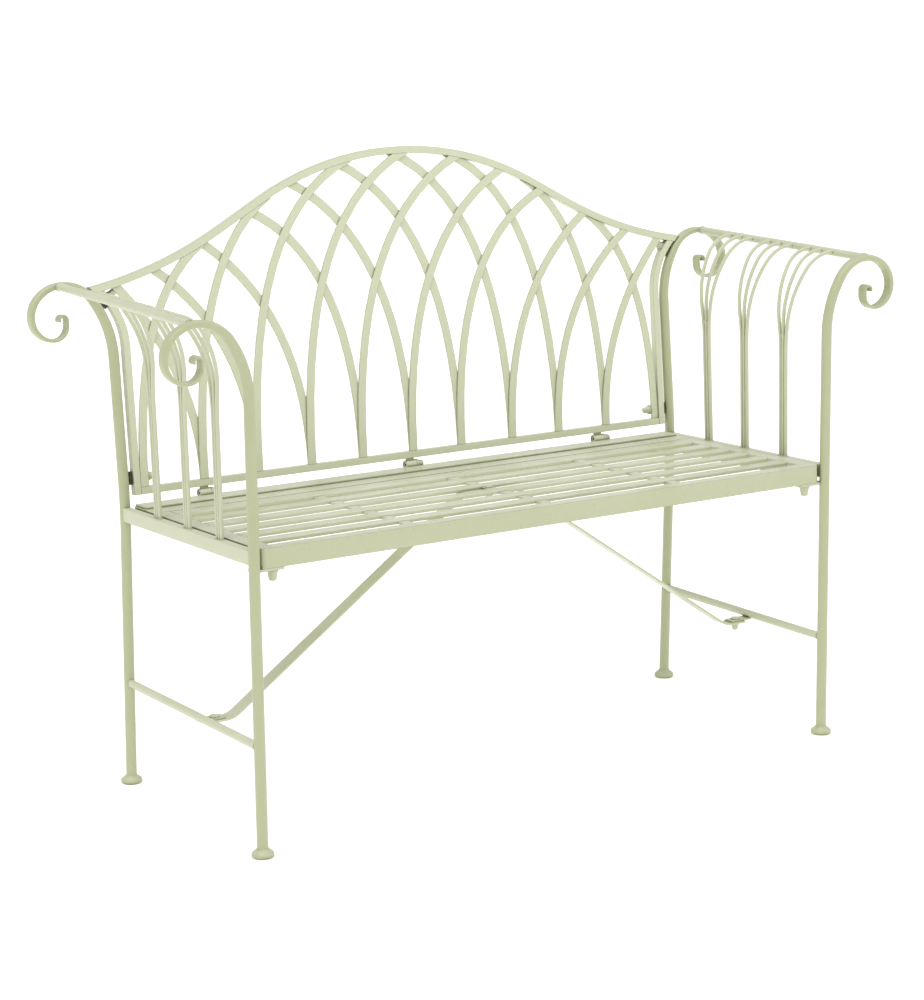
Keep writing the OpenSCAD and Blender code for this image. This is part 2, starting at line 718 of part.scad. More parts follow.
// flat bar from the stretcher's plate up to the centre cross bar
module brace(s, high) color(paint) bench() side(s) difference() {
    upright_slab(brace_y - brace_w / 2, brace_w) even_band([
        [brace_bolt_x + 12, brace_low + brace_t / 2], [brace_outer_x, brace_low + brace_t / 2],
        [brace_inner_x, high - brace_t / 2], [-12, high - brace_t / 2]
    ], brace_t);
    translate([0, brace_y, high - 10]) cylinder(d = hole_d, h = 20);
    translate([brace_bolt_x, brace_y, brace_low - 5]) cylinder(d = hole_d, h = 20);
}

// ---- fasteners -----------------------------------------------------------------

module ring(outer, inner, h) difference() {
    cylinder(d = outer, h = h);
    translate([0, 0, -1]) cylinder(d = inner, h = h + 2);
}

// closed conical nut standing on its flange
module cap_nut(wide, tip, h, thread, depth) difference() {
    rotate_extrude() polygon([
        [0, 0], [wide / 2, 0], [wide / 2, 2], [wide / 2 - 1, 2.6],
        [tip / 2, h - 1.5], [tip / 2 - 1.5, h], [0, h]
    ]);
    translate([0, 0, -1]) cylinder(d = thread, h = depth + 1);
}

// bolt with a low round head, its seat at z = 0 and its shank going down
module bolt(d, head, length) {
    rotate_extrude() polygon([
        [0, 0], [head / 2, 0], [head / 2, 1.2], [head / 2 - 1.2, 2.6], [head / 4, 3.2], [0, 3.2]
    ]);
    translate([0, 0, -length]) cylinder(d = d, h = length);
}

// bolt with a cylindrical head and a six-sided socket
module socket_bolt(d, head, head_h, length) difference() {
    union() {
        rotate_extrude() polygon([
            [0, 0], [head / 2, 0], [head / 2, head_h - 0.6], [head / 2 - 0.6, head_h], [0, head_h]
        ]);
        translate([0, 0, -length]) cylinder(d = d, h = length);
    }
    translate([0, 0, head_h - 2.5]) cylinder(d = 4.6, h = 4, $fn = 6);
}

module seat_bolts() color(paint_worn) seat_frame() for (s = [-1, 1]) side(s) {
    front_bolt_at() translate([0, 0, plate_t]) bolt(bolt_d, 13, plate_t + seat_tab_t + 8);
    rear_bolt_at() translate([0, 0, -sheet_t]) mirror([0, 0, 1]) bolt(bolt_d, 13, sheet_t + seat_tab_t + 8);
}

module seat_cap_nuts() color(paint_worn) seat_frame() for (s = [-1, 1]) side(s) {
    front_bolt_at() translate([0, 0, -seat_tab_t]) mirror([0, 0, 1]) cap_nut(17, 11, 15.5, bolt_d, 10);
    rear_bolt_at() translate([0, 0, seat_tab_t]) cap_nut(17, 11, 15.5, bolt_d, 10);
}

module tab_bolt_places() back_frame() for (x = tab_x)
    translate([x, 0, tab_v]) rotate([0, 90, 0]) children();

tab_head_seat = sleeve_bore_depth - sleeve_l - clear;

module tab_bolts() color(paint_worn) tab_bolt_places() translate([0, 0, tab_head_seat])
    mirror([0, 0, 1]) socket_bolt(tab_bolt_d, 9, 4.5, tab_t + clear + 7 - tab_head_seat);

module tab_cap_nuts() color(paint_worn) tab_bolt_places()
    translate([0, 0, tab_t + clear]) cap_nut(13, 9.5, 11, tab_bolt_d, 7.4);

// all three brace bolts stand upright
module brace_bolts() color(paint_worn) {
    bench() for (s = [-1, 1]) side(s) translate([brace_bolt_x, brace_y, brace_low + brace_t + tab_t])
        bolt(bolt_d, 15, brace_t + tab_t + 8);
    bench() translate([0, brace_y, brace_high + cross_bar_t])
        bolt(bolt_d, 12, cross_bar_t + 2 * brace_t + 8);
}

module brace_cap_nuts() color(paint_worn) bench() {
    for (s = [-1, 1]) side(s) translate([brace_bolt_x, brace_y, brace_low])
        mirror([0, 0, 1]) cap_nut(14, 9, 12, bolt_d, 8.4);
    translate([0, brace_y, brace_high - 2 * brace_t]) mirror([0, 0, 1]) cap_nut(14, 9, 12, bolt_d, 8.4);
}

// ---- nodes ---------------------------------------------------------------------

front_leg(-1);  // left_front_leg
front_leg(1);  // right_front_leg
rear_leg(-1);  // left_rear_leg
rear_leg(1);  // right_rear_leg
feet();
arm_rail(-1);  // left_arm_rail
arm_rail(1);  // right_arm_rail
side_rail(-1);  // left_side_rail
side_rail(1);  // right_side_rail
stretcher(-1);  // left_stretcher
stretcher(1);  // right_stretcher
rods(-1, 0);  // left_front_rods
rods(-1, 1);  // left_middle_rods
rods(-1, 2);  // left_rear_rods
rods(1, 0);  // right_front_rods
rods(1, 1);  // right_middle_rods
rods(1, 2);  // right_rear_rods
seat_tabs();
brace_tabs();
seat_front_rail();
seat_rear_rail();
seat_side_rail(-1);  // seat_left_rail
seat_side_rail(1);  // seat_right_rail
seat_slat(1);  // seat_slat_1
seat_slat(2);  // seat_slat_2
seat_slat(3);  // seat_slat_3
seat_slat(4);  // seat_slat_4
seat_slat(5);  // seat_slat_5
seat_slat(6);  // seat_slat_6
seat_rear_strip();
seat_cross_bars();
seat_back_tabs();
back_top_rail();
back_bottom_rail();
back_upright(-1);  // back_left_upright
back_upright(1);  // back_right_upright
strips(0, 2, 0);  // front_strips_left
strips(3, 6, 0);  // front_strips_middle
strips(7, 9, 0);  // front_strips_right
strips(7, 9, 1);  // rear_strips_left
strips(3, 6, 1);  // rear_strips_middle
strips(0, 2, 1);  // rear_strips_right
back_tabs();
back_spacers();
brace(-1, brace_high);  // left_brace
brace(1, brace_high - brace_t);  // right_brace
seat_bolts();
seat_cap_nuts();
back_studs();
back_cap_nuts();
back_washers();
leg_inserts();
tab_bolts();
tab_cap_nuts();
brace_bolts();
brace_cap_nuts();
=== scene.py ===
import math

import bmesh
import bpy
from mathutils import Matrix, Vector

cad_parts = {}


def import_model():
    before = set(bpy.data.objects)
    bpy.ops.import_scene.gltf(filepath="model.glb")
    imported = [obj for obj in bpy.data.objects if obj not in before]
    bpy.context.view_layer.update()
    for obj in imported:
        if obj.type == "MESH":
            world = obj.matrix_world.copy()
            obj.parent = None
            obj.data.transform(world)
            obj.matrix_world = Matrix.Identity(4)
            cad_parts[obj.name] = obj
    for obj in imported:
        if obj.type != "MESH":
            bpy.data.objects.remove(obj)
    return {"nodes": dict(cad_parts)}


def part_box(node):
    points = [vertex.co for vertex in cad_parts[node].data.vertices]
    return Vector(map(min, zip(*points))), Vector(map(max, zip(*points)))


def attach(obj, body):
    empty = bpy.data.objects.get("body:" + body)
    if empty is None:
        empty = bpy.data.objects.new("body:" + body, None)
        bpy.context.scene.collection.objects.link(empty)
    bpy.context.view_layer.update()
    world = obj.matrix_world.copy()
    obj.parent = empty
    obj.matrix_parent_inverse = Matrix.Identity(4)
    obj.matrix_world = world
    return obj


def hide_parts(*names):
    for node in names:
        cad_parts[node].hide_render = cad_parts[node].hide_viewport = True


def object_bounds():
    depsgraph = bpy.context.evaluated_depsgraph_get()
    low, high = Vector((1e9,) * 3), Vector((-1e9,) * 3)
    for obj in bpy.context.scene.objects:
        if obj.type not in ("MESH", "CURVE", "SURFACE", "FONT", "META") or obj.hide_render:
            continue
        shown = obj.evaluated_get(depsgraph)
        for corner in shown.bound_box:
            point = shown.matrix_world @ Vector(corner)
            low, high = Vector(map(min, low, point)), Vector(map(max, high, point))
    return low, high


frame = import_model()
cad_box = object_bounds()

# ---- sizes, in millimetres and degrees -------------------------------------------
# x is to the right, y runs back from the front legs' axis, z is up from the floor

MM = 0.001
FOOT_R = 16
feet_low, feet_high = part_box("feet")
LEG_X = feet_high.x / MM - FOOT_R
FRONT_Y = feet_low.y / MM + FOOT_R
LEG_DEPTH = (feet_high.y - feet_low.y) / MM - 2 * FOOT_R
LEG_D = 16
FOOT_H = 12
FOOT_FLOOR = 3
KNEE = Vector((0, LEG_DEPTH - 16, 430))
BACK_LEAN = 4.8

SCROLL_H = 640
REAR_SCROLL_V = 219.8
SCROLL_ARCS = [(152, 35), (58, 55), (54, 45), (42, 45), (33, 90), (21, 90)]
ROLL_LEAD = 8
ROLL_ARC = (6, 200)
SCROLL_TAPER = [(0, LEG_D), (35, 14.5), (45, 13), (90, 10), (180, 8), (270, 5.5), (360, 4), (560, 3.2)]
SCROLL_WIDTH = [(0, LEG_D), (90, 17), (360, 17.8)]
SCROLL_SOFT = [(30, 1), (120, 0.5)]
FIRST_R, FIRST_TURN = SCROLL_ARCS[0][0], math.radians(SCROLL_ARCS[0][1])
SECOND_R = SCROLL_ARCS[1][0]
SCROLL_RISE = FIRST_R * math.sin(FIRST_TURN) + SECOND_R * (1 - math.sin(FIRST_TURN))
SCROLL_RUN = FIRST_R * (1 - math.cos(FIRST_TURN)) + SECOND_R * math.cos(FIRST_TURN)

ARM_D = 12
ARM_X = LEG_X + 81
ARM_FRONT_Z = SCROLL_H + SCROLL_RISE - 0.9
REAR_TOP_V = REAR_SCROLL_V + SCROLL_RISE - 0.4

SEAT_H = 436
SEAT_SLOPE = 1.04
SEAT_INNER = 469.5
SLAT_Y = 48.2
SLAT_PITCH = 48
SLAT_W = 24
SLAT_LIP = 5
SLAT_END = 322
SLAT_T = 2

RAIL_IN = LEG_X - 6.5
RAIL_OUT = LEG_X + 6
RAIL_TOP = -0.5
RAIL_H = 21

ROD_D = 6
ROD_X = LEG_X - 1
ROD_PITCH = 6.2
ROD_FAN = 8.5
ROD_FAN_Z = 620
ROD_BUNDLES = {"front": (99, 0.9), "middle": (195, 1.3), "rear": (288, 2.5)}

STRETCHER_D = 12
STRETCHER_Z = 158

BRACE_Y = 184.5
BRACE_W = 25
BRACE_T = 3
BRACE_BOLT_X = 478
BRACE_LOW = 147
BRACE_OUTER_X = 452
BRACE_INNER_X = 50
CROSS_BAR_T = 3
BRACE_HIGH = SEAT_H - BRACE_Y * math.tan(math.radians(SEAT_SLOPE)) - SLAT_T - CROSS_BAR_T

SIDES = {"left": -1, "right": 1}


def world(p, side=1):
    """A point in the sizes' own frame, on one side of the bench, in metres in the row frame."""
    return Vector((p[0] * side, p[1] + FRONT_Y, p[2])) * MM


def lean(p, degrees):
    """Turns a point back about the x axis."""
    c, s = math.cos(math.radians(degrees)), math.sin(math.radians(degrees))
    return Vector((p[0], p[1] * c + p[2] * s, p[2] * c - p[1] * s))


def on_seat(p):
    """A point of the seat panel: y from its front edge, z up from its top."""
    return Vector((0, 0, SEAT_H)) + lean(p, SEAT_SLOPE)


def lookup(value, table):
    for (a, fa), (b, fb) in zip(table, table[1:]):
        if value <= b:
            return fa + (fb - fa) * max(0.0, (value - a) / (b - a))
    return table[-1][1]


ARM_REAR = KNEE + lean((0, 0, REAR_TOP_V), BACK_LEAN)
ARM_PITCH = math.degrees(math.atan2(ARM_REAR.z - ARM_FRONT_Z, ARM_REAR.y))

# ---- mesh parts: each is a list of points and a list of faces ---------------------


def tube_part(rings):
    """Closed skin over rows of points."""
    n, last = len(rings[0]), len(rings) - 1
    faces = [
        [k * n + i, (k + 1) * n + i, (k + 1) * n + (i + 1) % n, k * n + (i + 1) % n]
        for k in range(last)
        for i in range(n)
    ]
    faces.append(list(range(n)))
    faces.append([last * n + i for i in reversed(range(n))])
    return [p for ring in rings for p in ring], faces


def circle(radius, sides):
    turn = 2 * math.pi / sides
    return [(radius * math.cos(turn * i), radius * math.sin(turn * i)) for i in range(sides)]


def path_rings(path, section):
    """The section carried along a path of points, kept square to it."""
    rings = []
    for k, p in enumerate(path):
        ahead = path[min(k + 1, len(path) - 1)] - path[max(k - 1, 0)]
        ahead = ahead.normalized()
        across = Vector((0, 1, 0)) if abs(ahead.y) < 0.9 else Vector((1, 0, 0))
        across = (across - ahead * across.dot(ahead)).normalized()
        up = ahead.cross(across)
        rings.append([p + across * u + up * v for u, v in section])
    return rings


def rounded_section(width, height, radius, steps=4):
    """Rectangle with round corners, width along the first direction."""
    points = []
    for quarter in range(4):
        sx = 1 if quarter in (0, 3) else -1
        sy = 1 if quarter in (0, 1) else -1
        for i in range(steps + 1):
            a = math.pi / 2 * (quarter + i / steps)
            cx, cy = sx * (width / 2 - radius), sy * (height / 2 - radius)
            points.append((cx + radius * math.cos(a), cy + radius * math.sin(a)))
    return points


def lathe_part(profile, origin, axis, sides=48):
    """Profile of (radius, height) turned about an axis through the origin."""
    turn = axis.to_track_quat("Z", "Y")
    rings = [
        [origin + turn @ Vector((u, v, h)) for u, v in circle(r, sides)] for r, h in profile
    ]
    return tube_part(rings)


def bead_part(centre, axis, radius, size, seed=0.0, sides=28):
    """A weld: an uneven ring of the given size around a bar."""
    turn = axis.to_track_quat("Z", "Y")
    points, rows = [], 10
    for i in range(sides):
        a = 2 * math.pi * i / sides
        bulge = size * (1 + 0.22 * math.sin(3 * a + seed) + 0.14 * math.sin(8 * a + 2 * seed))
        for j in range(rows):
            b = 2 * math.pi * j / rows
            r = radius + bulge * math.cos(b)
            p = Vector((r * math.cos(a), r * math.sin(a), bulge * math.sin(b)))
            points.append(centre + turn @ p)
    faces = [
        [
            i * rows + j,
            (i + 1) % sides * rows + j,
            (i + 1) % sides * rows + (j + 1) % rows,
            i * rows + (j + 1) % rows,
        ]
        for i in range(sides)
        for j in range(rows)
    ]
    return points, faces


def blob_part(centre, size, seed=0.0, stretch=(1, 1, 1)):
    """A tack weld: a small uneven drop."""
    points, rings = [], 8
    for k in range(rings + 1):
        t = math.pi * (0.04 + 0.92 * k / rings)
        for i in range(12):
            a = math.pi / 6 * i
            r = size * (1 + 0.12 * math.sin(2 * a + seed) + 0.08 * math.sin(3 * t + seed))
            p = Vector((math.sin(t) * math.cos(a), math.sin(t) * math.sin(a), math.cos(t))) * r
            points.append(centre + Vector((p.x * stretch[0], p.y * stretch[1], p.z * stretch[2])))
    return tube_part([points[k * 12:k * 12 + 12] for k in range(rings + 1)])


def to_side(part, side):
    return [world(p, side) for p in part[0]], part[1]


SMOOTH_ANGLE = math.radians(40)


def piece_from(bm, name, material, nodes):
    """Mesh object that rides on the bench and stands for the named CAD nodes."""
    bmesh.ops.recalc_face_normals(bm, faces=bm.faces)
    mesh = bpy.data.meshes.new(name)
    bm.to_mesh(mesh)
    bm.free()
    mesh.materials.append(material)
    mesh.shade_smooth()
    mesh.set_sharp_from_angle(angle=SMOOTH_ANGLE)
    piece = bpy.data.objects.new(name, mesh)
    bpy.context.scene.collection.objects.link(piece)
    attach(piece, "root")
    if nodes:
        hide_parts(*nodes)
    return piece


def built(name, parts, material, nodes=()):
    """Piece made of mesh parts that are already in metres in the row frame."""
    bm = bmesh.new()
    for points, faces in parts:
        verts = [bm.verts.new(p) for p in points]
        for face in faces:
            bm.faces.new([verts[i] for i in face])
    return piece_from(bm, name, material, nodes)


def refined(node, radius, material):
    """The CAD node's own shape, with its facets joined and its sharp edges rounded."""
    bm = bmesh.new()
    bm.from_mesh(frame["nodes"][node].data)
    bmesh.ops.remove_doubles(bm, verts=bm.verts, dist=1e-5)
    bmesh.ops.dissolve_limit(bm, angle_limit=math.radians(0.3), verts=bm.verts, edges=bm.edges)
    sharp = [e for e in bm.edges if e.is_manifold and e.calc_face_angle(0) > math.radians(30)]
    bmesh.ops.bevel(
        bm, geom=sharp, offset=radius * MM, offset_type="OFFSET", segments=2, profile=0.5,
        affect="EDGES", clamp_overlap=True,
    )
    piece = piece_from(bm, node + "_shown", material, [node])
    normals = piece.modifiers.new("flat_faces_stay_flat", "WEIGHTED_NORMAL")
    normals.keep_sharp = True
    return piece


# ---- materials -------------------------------------------------------------------


def painted(name, base, shade, grime_and_shade, roughness, wear):
    """Cream-sage paint, lighter on top and darker on the sides as painted shade: uneven tone, olive
    darkening in joints that is painted shade with some grime, worn edges, orange peel.
    """
    material = bpy.data.materials.new(name)
    material.use_nodes = True
    tree = material.node_tree
    nodes, links = tree.nodes, tree.links
    shader = nodes["Principled BSDF"]

    def noise(scale, detail):
        node = nodes.new("ShaderNodeTexNoise")
        node.inputs["Scale"].default_value = scale
        node.inputs["Detail"].default_value = detail
        links.new(place.outputs["Object"], node.inputs["Vector"])
        return node.outputs["Fac"]

    def spread(value, low, high, to_low=0.0, to_high=1.0):
        node = nodes.new("ShaderNodeMapRange")
        node.inputs["From Min"].default_value = low
        node.inputs["From Max"].default_value = high
        node.inputs["To Min"].default_value = to_low
        node.inputs["To Max"].default_value = to_high
        links.new(value, node.inputs["Value"])
        return node.outputs["Result"]

    def times(a, b):
        node = nodes.new("ShaderNodeMath")
        node.operation = "MULTIPLY"
        links.new(a, node.inputs[0])
        links.new(b, node.inputs[1])
        return node.outputs["Value"]

    def blend(factor, a, colour):
        node = nodes.new("ShaderNodeMix")
        node.data_type = "RGBA"
        links.new(factor, node.inputs["Factor"])
        if isinstance(a, tuple):
            node.inputs["A"].default_value = (*a, 1)
        else:
            links.new(a, node.inputs["A"])
        node.inputs["B"].default_value = (*colour, 1)
        return node.outputs["Result"]

    place = nodes.new("ShaderNodeTexCoord")
    patches = noise(11, 3)
    fine = noise(85, 5)
    grain = noise(420, 4)

    true_normal = nodes.new("ShaderNodeNewGeometry")
    upward = nodes.new("ShaderNodeSeparateXYZ")
    links.new(true_normal.outputs["Normal"], upward.inputs["Vector"])
    # Faces that do not point up take the shade colour: painted shade that keeps the tops lighter.
    side_shade = spread(upward.outputs["Z"], 0.9, 0.1, 0, 0.8)
    tone = blend(side_shade, base, shade)
    tone = blend(spread(patches, 0.38, 0.66, 0, 0.5), tone, shade)
    tone = blend(spread(fine, 0.5, 0.85, 0, 0.45), tone, shade)

    # Olive darkening where the occlusion finds nearby surfaces: painted shade in joints and crevices,
    # with some grime.
    occlusion = nodes.new("ShaderNodeAmbientOcclusion")
    occlusion.samples = 6
    occlusion.inputs["Distance"].default_value = 0.008
    crevice_shade_and_grime = times(spread(occlusion.outputs["AO"], 0.8, 0.3), spread(fine, 0.3, 0.6, 0.7, 1))
    tone = blend(crevice_shade_and_grime, tone, grime_and_shade)

    rounded = nodes.new("ShaderNodeBevel")
    rounded.samples = 4
    rounded.inputs["Radius"].default_value = 0.0014
    dot = nodes.new("ShaderNodeVectorMath")
    dot.operation = "DOT_PRODUCT"
    links.new(rounded.outputs["Normal"], dot.inputs[0])
    links.new(true_normal.outputs["Normal"], dot.inputs[1])
    edges = times(spread(dot.outputs["Value"], 0.99, 0.88, 0, wear), spread(grain, 0.42, 0.6, 0.4, 1))
    tone = blend(edges, tone, grime_and_shade)
    links.new(tone, shader.inputs["Base Color"])

    links.new(spread(fine, 0.3, 0.7, roughness - 0.06, roughness + 0.1), shader.inputs["Roughness"])
    shader.inputs["Specular IOR Level"].default_value = 0.5
    shader.inputs["Coat Weight"].default_value = 0.12
    shader.inputs["Coat Roughness"].default_value = 0.22

    peel = nodes.new("ShaderNodeBump")
    peel.inputs["Strength"].default_value = 0.35
    peel.inputs["Distance"].default_value = 0.0003
    links.new(noise(240, 3), peel.inputs["Height"])
    links.new(peel.outputs["Normal"], shader.inputs["Normal"])
    return material


def spacer_shade_paint(name):
    """Near-black with faint dust speckle, for the spacers: painted shade standing in for the shadow
    behind the uprights.
    """
    material = bpy.data.materials.new(name)
    material.use_nodes = True
    nodes, links = material.node_tree.nodes, material.node_tree.links
    shader = nodes["Principled BSDF"]
    place = nodes.new("ShaderNodeTexCoord")
    dust = nodes.new("ShaderNodeTexNoise")
    dust.inputs["Scale"].default_value = 300
    links.new(place.outputs["Object"], dust.inputs["Vector"])
    ramp = nodes.new("ShaderNodeValToRGB")
    ramp.color_ramp.elements[0].color = (0.02, 0.022, 0.012, 1)
    ramp.color_ramp.elements[1].color = (0.09, 0.095, 0.055, 1)
    links.new(dust.outputs["Fac"], ramp.inputs["Fac"])
    links.new(ramp.outputs["Color"], shader.inputs["Base Color"])
    shader.inputs["Roughness"].default_value = 0.75
    return material


def plated(name):
    """Dull zinc plate with fine scratches."""
    material = bpy.data.materials.new(name)
    material.use_nodes = True
    nodes, links = material.node_tree.nodes, material.node_tree.links
    shader = nodes["Principled BSDF"]
    place = nodes.new("ShaderNodeTexCoord")
    scratches = nodes.new("ShaderNodeTexNoise")
    scratches.inputs["Scale"].default_value = 900
    links.new(place.outputs["Object"], scratches.inputs["Vector"])
    ramp = nodes.new("ShaderNodeValToRGB")
    ramp.color_ramp.elements[0].color = (0.42, 0.42, 0.40, 1)
    ramp.color_ramp.elements[1].color = (0.62, 0.62, 0.60, 1)
    links.new(scratches.outputs["Fac"], ramp.inputs["Fac"])
    links.new(ramp.outputs["Color"], shader.inputs["Base Color"])
    shader.inputs["Metallic"].default_value = 1.0
    shader.inputs["Roughness"].default_value = 0.38
    return material


# Dark olive for worn edges, and through the occlusion mask for painted shade in joints and crevices.
GRIME_AND_SHADE = (0.17, 0.175, 0.065)
LEG_PAINT = painted("leg_paint", (0.53, 0.55, 0.37), (0.42, 0.445, 0.26), GRIME_AND_SHADE, 0.36, 0.7)
FRAME_PAINT = painted("frame_paint", (0.62, 0.635, 0.47), (0.54, 0.56, 0.39), GRIME_AND_SHADE, 0.34, 0.6)
SEAT_PAINT = painted("seat_paint", (0.65, 0.66, 0.52), (0.45, 0.475, 0.29), GRIME_AND_SHADE, 0.32, 0.95)
BACK_PAINT = painted("back_paint", (0.66, 0.675, 0.51), (0.60, 0.625, 0.44), GRIME_AND_SHADE, 0.38, 0.95)
NUT_PAINT = painted("painted_hardware", (0.60, 0.62, 0.46), (0.48, 0.50, 0.33), GRIME_AND_SHADE, 0.30, 0.9)
# Near-black for the spacers: painted shade for the shadow behind the uprights.
SPACER_SHADE = spacer_shade_paint("dark_rubber")
PLATED = plated("hidden_steel")

# ---- side frames -----------------------------------------------------------------


def scroll_line(step=4):
    """(out, up, degrees turned) along a scroll, from the top of the leg."""
    line = [(0.0, 0.0, 0.0)]
    out = up = turned = 0.0
    for radius, angle in [*SCROLL_ARCS, ROLL_ARC]:
        if (radius, angle) == ROLL_ARC:
            out += ROLL_LEAD * math.sin(math.radians(turned))
            up += ROLL_LEAD * math.cos(math.radians(turned))
            line.append((out, up, turned))
        start = (out, up, turned)
        count = math.ceil(angle / step)
        for i in range(1, count + 1):
            turned = start[2] + angle * i / count
            a, b = math.radians(start[2]), math.radians(turned)
            out = start[0] + radius * (math.cos(a) - math.cos(b))
            up = start[1] + radius * (math.sin(b) - math.sin(a))
            line.append((out, up, turned))
    return line


def strap_ring(q, sides=36, shrink=1.0):
    """Section of the leg at a point of the scroll: round at first, then a strap with soft edges."""
    out, up, turned = q
    flat = lookup(turned, SCROLL_TAPER) / 2 * shrink
    wide = lookup(turned, SCROLL_WIDTH) / 2 * (1 - (1 - shrink) * 0.15)
    soft = lookup(turned, SCROLL_SOFT)
    c, s = math.cos(math.radians(turned)), math.sin(math.radians(turned))
    ring = []
    for u, v in circle(1, sides):
        u = flat * math.copysign(abs(u) ** soft, u)
        v = wide * math.copysign(abs(v) ** soft, v)
        ring.append(Vector((out + u * c, v, up - u * s)))
    return ring


def strap_rings():
    line = scroll_line()
    rings = [strap_ring(q) for q in line]
    out, up, turned = line[-1]
    a = math.radians(turned)
    for reach, shrink in ((0.7, 0.75), (1.0, 0.35)):
        tip = (out + reach * math.sin(a), up + reach * math.cos(a), turned)
        rings.append(strap_ring(tip, shrink=shrink))
    return rings


def flat_ring(p, diameter, sides=36):
    return [p + Vector((u, v, 0)) for u, v in circle(diameter / 2, sides)]


def front_leg_part():
    foot = flat_ring(Vector((LEG_X, 0, FOOT_FLOOR)), LEG_D)
    upper = [[p + Vector((LEG_X, 0, SCROLL_H)) for p in ring] for ring in strap_rings()]
    return tube_part([foot, *upper])


def rear_leg_part():
    """The lower half leans forward, the upper half back, with a short bend at the knee."""
    axis = Vector((LEG_X, 0, 0))
    foot = Vector((0, LEG_DEPTH, FOOT_FLOOR))
    reach = 40
    below = KNEE + (foot - KNEE).normalized() * reach
    above = KNEE + lean((0, 0, reach), BACK_LEAN)
    rings = [flat_ring(axis + foot, LEG_D)]
    for i in range(9):
        t = i / 8
        p = below * (1 - t) ** 2 + KNEE * 2 * t * (1 - t) + above * t ** 2
        rings.append(flat_ring(axis + p, LEG_D))
    for ring in strap_rings():
        rings.append([axis + KNEE + lean(p + Vector((0, 0, REAR_SCROLL_V)), BACK_LEAN) for p in ring])
    return tube_part(rings)


def foot_part(x, y):
    profile = [(13.2, 0), (14.2, 0.3), (15.3, 1.2), (16, 2.6), (16, 4.6), (15.6, 6), (14.6, 7.4),
               (13, 8.6), (11, 9.8), (10, 11), (9.2, FOOT_H), (7, FOOT_H)]
    return lathe_part(profile, Vector((x, y, 0)), Vector((0, 0, 1)), 56)


def arm_point(y):
    return Vector((ARM_X, y, ARM_FRONT_Z + y * math.tan(math.radians(ARM_PITCH))))


def arm_rail_part():
    start, end = arm_point(4), arm_point(ARM_REAR.y - 4)
    return tube_part(path_rings([start, end], circle(ARM_D / 2, 36)))


def rod_part(y, base_lean, fan, sides=20):
    """One rod: straight, fanned out, then turned outwards to meet the arm rail."""
    base = SEAT_H - y * math.tan(math.radians(SEAT_SLOPE)) + RAIL_TOP - 1
    straight = (ROD_FAN_Z - base) / math.cos(math.radians(base_lean))
    tilt = base_lean + fan
    foot = Vector((ROD_X, y, base))
    fan_point = foot + lean((0, 0, straight), base_lean)
    top_y = fan_point.y + (ARM_FRONT_Z - ROD_FAN_Z) * math.tan(math.radians(tilt))
    top_z = arm_point(top_y).z + 1.5
    rise = (top_z - ROD_FAN_Z) / math.cos(math.radians(tilt)) - SCROLL_RISE
    line = [q for q in scroll_line() if q[2] < 91]
    line.append((SCROLL_RUN + 3, SCROLL_RISE, 90))
    radius = ROD_D / 2
    ease = 20
    rings = [flat_ring(foot, ROD_D, sides)]
    before = fan_point - lean((0, 0, ease), base_lean)
    after = fan_point + lean((0, 0, ease), tilt)
    for i in range(7):
        t = i / 6
        p = before * (1 - t) ** 2 + fan_point * 2 * t * (1 - t) + after * t ** 2
        rings.append(flat_ring(p, ROD_D, sides))
    for out, up, turned in line:
        c, s = math.cos(math.radians(turned)), math.sin(math.radians(turned))
        rings.append([
            fan_point + lean((out + u * radius * c, v * radius, rise + up - u * radius * s), tilt)
            for u, v in circle(1, sides)
        ])
    return tube_part(rings)


def rod_welds(y, base_lean):
    """Welds of one bundle: at its foot and where it starts to fan."""
    parts = []
    top = Vector((ROD_X, y, SEAT_H - y * math.tan(math.radians(SEAT_SLOPE)) + RAIL_TOP))
    for i in (-1, 0, 1):
        parts.append(bead_part(top + Vector((0, i * ROD_PITCH, 0.3)), Vector((0, 0, 1)), 3, 0.9, y + i))
    for i in (-0.5, 0.5):
        split = top + Vector((0, i * ROD_PITCH, 0)) + lean((0, 0, ROD_FAN_Z - top.z + 4), base_lean)
        parts.append(blob_part(split + Vector((-1.9, 0, 0)), 1.5, y + i, (0.8, 0.9, 3.2)))
    return parts


def side_rail_part():
    x = (RAIL_IN + RAIL_OUT) / 2
    z = RAIL_TOP - RAIL_H / 2
    path = [on_seat((x, 5, z)), on_seat((x, KNEE.y - 4, z))]
    return tube_part(path_rings(path, rounded_section(RAIL_OUT - RAIL_IN, RAIL_H, 1.3)))


def leg_back_y(z):
    """Where the axis of the lower back leg is at height z."""
    return KNEE.y + (LEG_DEPTH - KNEE.y) * (KNEE.z - z) / (KNEE.z - FOOT_FLOOR)


def stretcher_part():
    start = Vector((LEG_X, 5, STRETCHER_Z))
    end = Vector((LEG_X, leg_back_y(STRETCHER_Z) - 5, STRETCHER_Z))
    return tube_part(path_rings([start, end], circle(STRETCHER_D / 2, 36)))


def side_frame_welds():
    parts = []
    back = leg_back_y(STRETCHER_Z)
    along = Vector((0, 1, 0))
    for y in (LEG_D / 2 - 0.4, back - LEG_D / 2 + 0.4):
        parts.append(bead_part(Vector((LEG_X, y, STRETCHER_Z)), along, STRETCHER_D / 2, 0.9, y))
    parts.append(bead_part(arm_point(8.4), along, ARM_D / 2, 0.9, 1))
    parts.append(bead_part(arm_point(ARM_REAR.y - 8.6), along, ARM_D / 2, 0.9, 2))
    for y, shift in ((0, 0), (LEG_DEPTH, -0.3)):
        top = Vector((LEG_X, y + shift, FOOT_H))
        parts.append(bead_part(top, Vector((0, 0, 1)), LEG_D / 2, 1.1, y + 3))
    return parts


